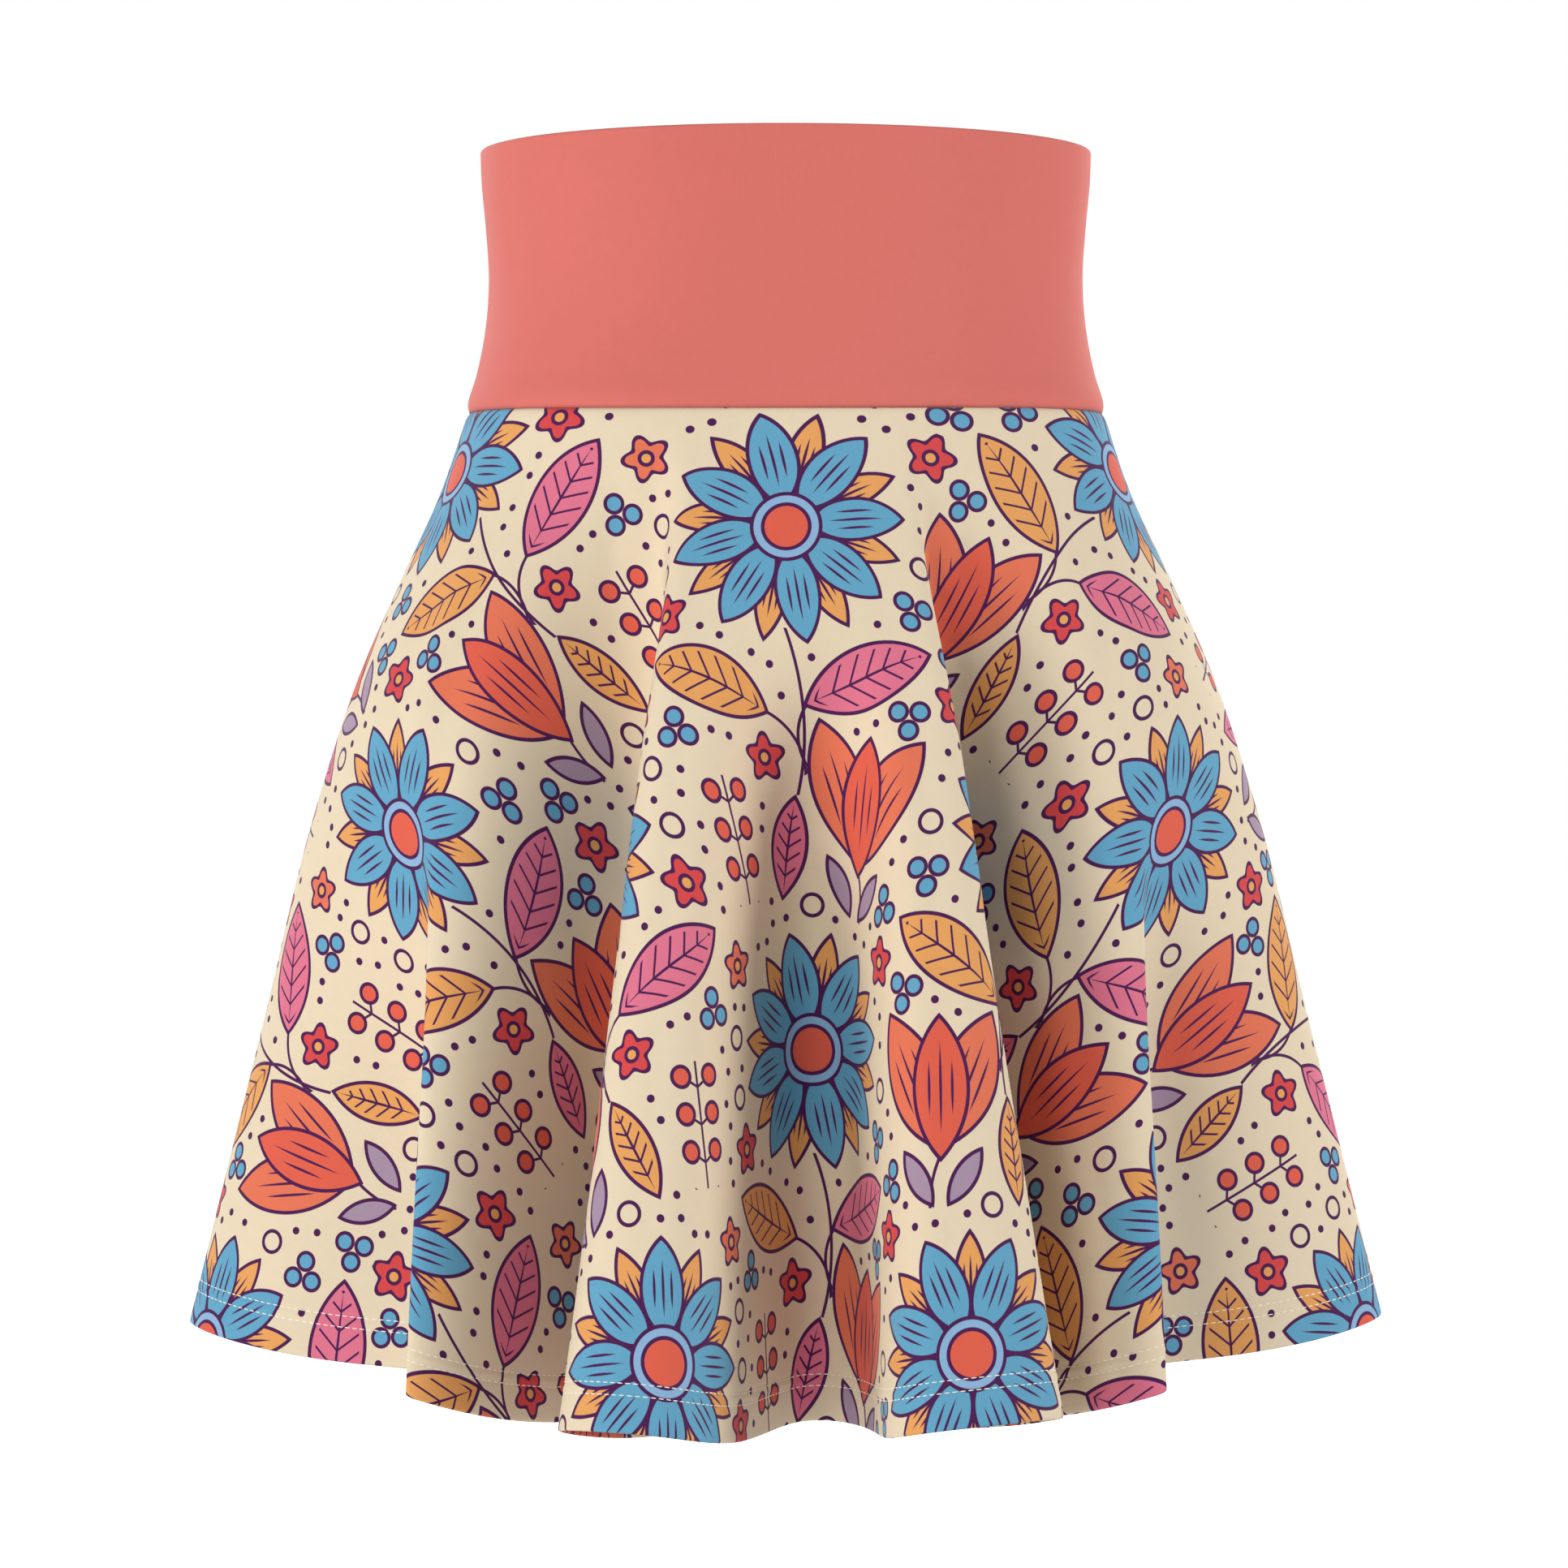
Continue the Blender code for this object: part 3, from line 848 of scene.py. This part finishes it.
def strokeArc(place, x0, y0, x1, y1, bulge):
    # Distance from a pen stroke from (x0, y0) to (x1, y1) that bulges to the left of its way. Half its chord
    # is h, so its circle's radius is (h^2 + bulge^2) / (2 bulge).
    half = math.dist((x0, y0), (x1, y1)) / 2.0
    radius = (half**2 + bulge**2) / (2.0 * bulge)
    turn = math.atan2(y1 - y0, x1 - x0)
    middle = ((x0 + x1) / 2.0 - bulge * math.sin(turn), (y0 + y1) / 2.0 + bulge * math.cos(turn))
    local = localPlace(place, *middle, math.degrees(turn))
    across, up = local.parts()
    onCircle = abs(local.distance((0.0, -radius, 0.0)) - abs(radius))
    farSide = up.math("MULTIPLY_ADD", -math.copysign(1.0, bulge), -abs(radius))
    return onCircle.math("MAXIMUM", abs(across) - half).math("MAXIMUM", farSide)


def paintSprig(brush, place):
    # Pairs of berries on stalks, worked out once and repeated along the sprig: places are wrapped to the
    # nearest pair. A stalk is where along - slope * |aside| is at a pair's place.
    halfLength, pitch, berryReach, slope = (sprig[key] for key in ("halfLength", "pitch", "reach", "slope"))
    local = localPlace(place, *sprig["place"])
    along, _ = local.parts()
    _, aside = local.folded().parts()
    stalk = aside.math("MULTIPLY_ADD", -slope, along).math("PINGPONG", pitch / 2.0)
    stalk = (stalk * (1.0 / math.hypot(1.0, slope))).math("MAXIMUM", aside - berryReach)
    beyond = abs(along) - (halfLength + sprig["tip"])
    brush.ink(stalk.math("MINIMUM", aside).math("MAXIMUM", beyond), printed["penLine"])
    atBerry = along - slope * berryReach
    berry = joined(atBerry.math("PINGPONG", pitch / 2.0), aside - berryReach).length() - sprig["berry"]
    brush.fill(berry.math("MAXIMUM", abs(atBerry) - halfLength), "deepCoral")


def nearest(place, points, radius):
    # distance from the nearest of several discs
    shape = None
    for x, y in points:
        distance = place.distance((x, y, 0.0))
        shape = shape.math("MINIMUM", distance) if shape else distance
    return shape - radius


stems = {  # from x, y to x, y, bulge to the left of the way
    "daisy": (0.0, 12.0, 1.0, -46.5, 5.0),
    "right leaf": (5.0, -36.0, 6.8, -14.5, 3.0),
    "left leaf": (4.6, -39.0, -8.8, -17.5, -4.0),
    "tulip": (23.8, -74.0, 24.5, -92.0, 1.0),
}
leaves = {  # x, y, turn, half length, half width, colour in even columns, colour in odd ones
    "right": (30.0, -4.0, 24.0, 26.0, 11.0, "pink", "amber"),
    "left": (-31.0, -6.5, 154.0, 25.0, 11.0, "amber", "pink"),
    "small": (-5.5, -66.0, 74.0, 19.0, 7.2, "pink", "amber"),
}
sprig = {
    "place": (-34.0, -62.0, 92.0),  # x, y, turn
    "halfLength": 19.5,
    "pitch": 13.0,  # of the pairs
    "berry": 3.6,  # its radius
    "reach": 6.5,  # of a berry from the stalk
    "slope": 0.6,  # of its own stalk
    "tip": 2.0,  # how far the stalk goes on at each end
}
daisyPlace = (0.0, 50.0)
tulipPlace = (28.0, -49.5, -10.0)  # x, y, turn

# Small motifs for what the large ones leave free: radius, room around it, how many in a repeat at the most
fillers = {
    "blossom": (8.8, 2.4, 4),
    "trio": (7.4, 1.8, 4),  # of blue discs
    "ring": (4.7, 2.4, 4),
    "dot": (1.45, 4.1, 40),
}
blossomKinds = (("red", 7.4), ("coral", 6.9), ("red", 7.0), ("red", 7.3))  # colour, size
trio = {
    "radius": 3.3,  # of a disc
    "reach": 4.6,  # from the middle of the three to each
    "firstTurn": 18.0,  # degrees
    "turn": 68.0,  # from one trio to the next
}
ringRadius = 4.0


def seenFrom(x, y, middleX, middleY, turn):
    # what localPlace gives, for arrays of places
    turn = math.radians(turn)
    across, up = x - middleX, y - middleY
    return across * math.cos(turn) + up * math.sin(turn), up * math.cos(turn) - across * math.sin(turn)


def almondRoom(x, y, halfLength, halfWidth):
    # the distance that almond gives, for arrays of places
    centre = (halfLength**2 - halfWidth**2) / (2.0 * halfWidth)
    return np.hypot(x, np.abs(y) + centre) - centre - halfWidth


def strokeRoom(x, y, x0, y0, x1, y1, bulge):
    # distance from points along a stroke, a parabola 4 t (1 - t) bulge high over its chord
    share = np.linspace(0.0, 1.0, printed["strokePoints"])
    chord = math.dist((x0, y0), (x1, y1))
    rise = 4.0 * share * (1.0 - share) * bulge / chord
    along = (x0 + share * (x1 - x0) - rise * (y1 - y0), y0 + share * (y1 - y0) + rise * (x1 - x0))
    return np.min(np.hypot(x[..., None] - along[0], y[..., None] - along[1]), axis=-1)


def largeMotifRoom(x, y):
    # distance from the nearest of the large motifs
    rooms = [np.hypot(x - daisyPlace[0], y - daisyPlace[1]) - daisy["reach"]]
    rooms += [almondRoom(*seenFrom(x, y, *leaf[:3]), *leaf[3:5]) for leaf in leaves.values()]
    rooms += [strokeRoom(x, y, *stem) for stem in stems.values()]
    across, up = seenFrom(x, y, *tulipPlace)
    for petal in (tulip["leaf"], tulip["outer"]):
        rooms.append(almondRoom(*seenFrom(np.abs(across), up, *petal["place"]), *petal["size"][:2]))
    middle = tulip["middle"]
    rooms.append(almondRoom(up - middle["rise"], across, *middle["size"][:2]))
    along, aside = seenFrom(x, y, *sprig["place"])
    beyond = np.maximum(np.abs(along) - sprig["halfLength"], 0.0)
    rooms.append(np.hypot(beyond, aside) - sprig["reach"] - sprig["berry"])
    return np.min(rooms, axis=0)


def repeats(x, y):
    # the same places as this column sees them and as its mirrored and dropped neighbours do
    width, height = printed["width"], printed["height"]
    own = [(x, y + drop) for drop in (-height, 0.0, height)]
    return own + [(side - x, y + drop) for side in (-width, width) for drop in (-height / 2.0, height / 2.0)]


def fillGround():
    # Each small motif, the largest kind first, goes to the place with the most room around it. Places a
    # millimetre apart are tried, in one column's repeat.
    halfWidth, halfHeight = printed["width"] / 2.0, printed["height"] / 2.0
    x, y = np.meshgrid(np.arange(0.5 - halfWidth, halfWidth), np.arange(0.5 - halfHeight, halfHeight))
    room = np.min([largeMotifRoom(*seen) for seen in repeats(x, y)], axis=0)
    toEdge = np.minimum(halfWidth - np.abs(x), halfHeight - np.abs(y))
    places = {}
    for kind, (radius, around, most) in fillers.items():
        places[kind] = []
        while len(places[kind]) < most:
            fitting = np.where(toEdge > radius + printed["outline"], room, 0.0)
            i = np.argmax(fitting)
            if fitting.flat[i] < radius + around:
                break
            middleX, middleY = float(x.flat[i]), float(y.flat[i])
            places[kind].append((middleX, middleY))
            taken = [np.hypot(seenX - middleX, seenY - middleY) for seenX, seenY in repeats(x, y)]
            room = np.minimum(room, np.min(taken, axis=0) - radius)
    return places


def trioDiscs(middles):
    discs = []
    for i, (x, y) in enumerate(middles):
        for turn in (0.0, 120.0, 240.0):
            angle = math.radians(turn + trio["firstTurn"] + i * trio["turn"])
            discs.append((x + trio["reach"] * math.cos(angle), y + trio["reach"] * math.sin(angle)))
    return discs


def buildPrint():
    tree, (source,), result = newGroup("floralPrint", [("Place", "Vector")], [("Colour", "Color")])
    width, height = printed["width"], printed["height"]
    toCell = 1000.0 / printed["scale"]  # from metres
    x, y = source.vector("MULTIPLY", (toCell, toCell, toCell)).parts()
    column = x.math("MULTIPLY_ADD", 1.0 / width, 0.5).math("FLOOR")
    odd = column.math("FLOORED_MODULO", 2.0)
    inColumn = column.math("MULTIPLY_ADD", -width, x) * odd.math("MULTIPLY_ADD", -2.0, 1.0)
    dropped = odd.math("MULTIPLY_ADD", height / 2.0, y)
    place = joined(inColumn, dropped.math("WRAP", height / 2.0, -height / 2.0))

    brush = PrintBrush("cream")
    for stem in stems.values():
        brush.ink(strokeArc(place, *stem), printed["stemLine"])
    for *leaf, evenColour, oddColour in leaves.values():
        colour = mixed(tree, odd, screenColour(evenColour), screenColour(oddColour))
        paintLeaf(brush, place, *leaf, colour)
    paintSprig(brush, place)
    paintTulip(brush, place)
    paintDaisy(brush, place)
    small = fillGround()
    for middle, kind in zip(small["blossom"], blossomKinds):
        paintBlossom(brush, place, *middle, *kind)
    brush.fill(nearest(place, trioDiscs(small["trio"]), trio["radius"]), "blue")
    brush.ink(abs(nearest(place, small["ring"], ringRadius)), printed["ringLine"])
    brush.ink(nearest(place, small["dot"], fillers["dot"][0]))
    print("small motifs:", ", ".join(f"{len(found)} {kind}" for kind, found in small.items()))
    plug(tree, result["Colour"], brush.colour)
    print("print nodes:", len(tree.nodes))
    return tree


knit = {
    "wale": 0.00072,  # width of a column of loops, metres
    "course": 0.00052,  # height of a row of them
    "courseShare": 0.6,  # of a loop's height that the rows make
    "tone": 0.80,  # how much of a finish's colour the cloth gives back
    "grooveShade": 0.08,  # painted shade: how much darker the colour is made between the loops, where the knit's height is low
    "mottle": 0.03,
    "mottleSize": 220.0,
    "mottleDetail": 3.0,
}


def buildKnit():
    # Jersey loops: a column of V's. Height is a rounded column, sin(pi x / wale)^2, crossed by courses whose
    # phase rises with the distance from the column's middle.
    tree, (place, wale, course), result = newGroup(
        "jerseyKnit",
        [("Place", "Vector"), ("Wale", "Float"), ("Course", "Float")],
        [("Height", "Float"), ("Shade", "Float")],
    )
    x, y = place.parts()
    fromMiddle = x.math("DIVIDE", wale).math("PINGPONG", 0.5)
    column = (fromMiddle * math.pi).math("SINE")
    row = y.math("DIVIDE", course) + fromMiddle
    wave = (row * (2.0 * math.pi)).math("SINE").math("MULTIPLY_ADD", 0.5, 0.5)
    height = wave.math("MULTIPLY_ADD", knit["courseShare"], 1.0 - knit["courseShare"]) * column
    plug(tree, result["Height"], height)
    mottle = {"Scale": knit["mottleSize"], "Detail": knit["mottleDetail"]}
    noise = addNode(tree, "TexNoise", place, gives="Fac", sockets=mottle)
    uneven = noise.math("MULTIPLY_ADD", knit["mottle"], 1.0 - knit["mottle"] / 2.0)
    # Shade is a random mottle in the cloth's tone times painted shade between the loops, darker where the
    # height is low
    dark = knit["tone"] * (1.0 - knit["grooveShade"] / 2.0)
    grooveShade = height.math("MULTIPLY_ADD", knit["tone"] * knit["grooveShade"], dark)
    plug(tree, result["Shade"], uneven * grooveShade)
    return tree


clothFinish = {"Roughness": 0.82, "Specular IOR Level": 0.25, "Sheen Weight": 0.12, "Sheen Roughness": 0.45}
clothBump = {"Strength": 0.35, "Distance": 0.00012}
threadGrain = {"size": 900.0, "uneven": 0.12}


def clothMaterial(name, colour, design=None, ghost=0.0):
    # A knit in one colour, or with the print over it. A ghost is the share of the print that shows through
    # on the wrong side.
    material, tree, sockets = newMaterial(name, clothFinish)
    uv = addNode(tree, "UVMap", uv_map="flatCut")
    shade = addNode(tree, "Group", uv, knit["wale"], knit["course"], gives="Shade", node_tree=jerseyKnit)
    base = screenColour(colour)
    if design:
        base = addNode(tree, "Group", uv, node_tree=design)
    if ghost:
        base = mixed(tree, ghost, screenColour(colour), base)
    # the colour times the knit's mottle and its painted shade between the loops
    plug(tree, sockets["Base Color"], shaded(tree, base, shade))
    height = Term(tree, shade.socket.node.outputs["Height"])
    plug(tree, sockets["Normal"], addNode(tree, "Bump", sockets=dict(clothBump, Height=height)))
    return material


def threadMaterial():
    material, tree, sockets = newMaterial("thread", {"Roughness": 0.6})
    place = addNode(tree, "TexCoord", gives="Object")
    noise = addNode(tree, "TexNoise", place, gives="Fac", sockets={"Scale": threadGrain["size"]})
    shade = noise.math("MULTIPLY_ADD", threadGrain["uneven"], 1.0 - threadGrain["uneven"] / 2.0)
    plug(tree, sockets["Base Color"], shaded(tree, screenColour("thread"), shade))
    return material


floralPrint = buildPrint()
jerseyKnit = buildKnit()
printedKnit = clothMaterial("printedKnit", "cream", floralPrint)
wrongSide = clothMaterial("wrongSide", "wrongSide", floralPrint, ghost=0.10)
coralKnit = clothMaterial("coralKnit", "bandCoral")
thread = threadMaterial()
print("materials made")


# Pieces

backPrintShift = (0.312, 0.147)  # the back is cut from another part of the cloth


def buildSkirt():
    rows = skirtRows()
    rings = np.stack([clothRing(down) for down in rows])
    side = panelFlanks * drape["flankSteps"]
    halves = (
        ("Front", rings[:, :side + 1], frontCreases, (0.0, 0.0)),
        ("Back", np.concatenate([rings[:, side:], rings[:, :1]], axis=1), backCreases, backPrintShift),
    )
    made = {}
    for name, halfRings, creases, shift in halves:
        surface, angle, down = panelSurface(halfRings, rows, creases)
        grid, allAngle, allDown = turnedHem(surface, angle, down)
        flat = flatCut(allAngle, allDown) + np.array(shift)
        panel = makeSheet("skirt" + name, grid, flat, (printedKnit, wrongSide), skirt["thickness"])
        stitches = makeStitches("hemStitches" + name, surface, down, thread)
        made[name] = panel, stitches
        print("skirt", name.lower(), "made:", grid.shape[0], "rows,", grid.shape[1], "columns")
    return made


def buildBand():
    made = {}
    for name, middle in (("Front", 0.0), ("Back", 180.0)):
        grid, flat = bandGrid(middle)
        made[name] = makeSheet("waistband" + name, grid, flat, (coralKnit,), band["thickness"])
        print("waistband", name.lower(), "made")
    return made


bands = buildBand()
panels = buildSkirt()
for name, node in (("Front", "front"), ("Back", "back")):
    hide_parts("waistband_" + node)
    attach(bands[name], "root")
    panel, stitches = panels[name]
    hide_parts("skirt_" + node)
    for piece in (panel, stitches):
        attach(piece, "root")
print("pieces declared")


# Studio

studio = {
    "floorHeight": -0.80,
    "floorSize": 60.0,
    "ambient": 0.14,
    "sky": (0.74, 0.94, 1.25, 1.0),  # its tint, a little cool
    "white": (1.0, 1.0, 1.0, 1.0),
    "lamps": (1.0, 0.985, 0.96),  # theirs, a little warm
    "background": 1.0,
    "aim": -0.2,  # height that the lamps look at
    "floorGlow": 0.92,  # seen by the camera alone, so that the floor runs into the backdrop
}
lights = {  # turn round the skirt, height above it in degrees, distance, size, power in watts
    "key": (-54.0, 14.0, 3.0, 1.2, 49.0),
    "front": (-28.0, 14.0, 3.0, 1.2, 28.0),
    "right": (76.0, 18.0, 3.0, 1.2, 64.0),
    "backLeft": (-142.0, 22.0, 3.0, 1.5, 38.0),
    "backRight": (150.0, 22.0, 3.0, 1.5, 38.0),
}


def addStudio():
    finish = {"Base Color": screenColour("floor"), "Roughness": 0.9, "Emission Color": studio["white"]}
    material, tree, sockets = newMaterial("floor", finish)
    seen = addNode(tree, "LightPath", gives="Is Camera Ray")
    plug(tree, sockets["Emission Strength"], seen * studio["floorGlow"])
    # clear from below
    below = addNode(tree, "NewGeometry", gives="Backfacing")
    plug(tree, sockets["Alpha"], addNode(tree, "Math", 1.0, below, operation="SUBTRACT"))
    half, height = studio["floorSize"] / 2.0, studio["floorHeight"]
    corners = [(-half, -half, height), (half, -half, height), (half, half, height), (-half, half, height)]
    floor = addMesh("floor", np.array(corners), [(0, 1, 2, 3)], [material])
    for name, (turn, rise, away, width, power) in lights.items():
        data = bpy.data.lights.new(name, "AREA")
        data.shape = "DISK"
        data.size = width
        data.energy = power
        data.color = studio["lamps"]
        lamp = addObject(name, data)
        turn, rise = math.radians(turn), math.radians(rise)
        flat = away * math.cos(rise)
        lamp.location = (flat * math.sin(turn), -flat * math.cos(turn), studio["aim"] + away * math.sin(rise))
        lamp.rotation_euler = (math.pi / 2.0 - rise, 0.0, turn)


def addWorld():
    world = bpy.data.worlds.new("studio")
    world.use_nodes = True
    tree = world.node_tree
    sockets = tree.nodes["Background"].inputs
    seen = addNode(tree, "LightPath", gives="Is Camera Ray")
    plug(tree, sockets["Color"], mixed(tree, seen, studio["sky"], studio["white"]))
    span = studio["background"] - studio["ambient"]
    plug(tree, sockets["Strength"], seen.math("MULTIPLY_ADD", span, studio["ambient"]))
    bpy.context.scene.world = world


addStudio()
addWorld()
bpy.context.scene.view_settings.view_transform = "Standard"
print("studio lit")
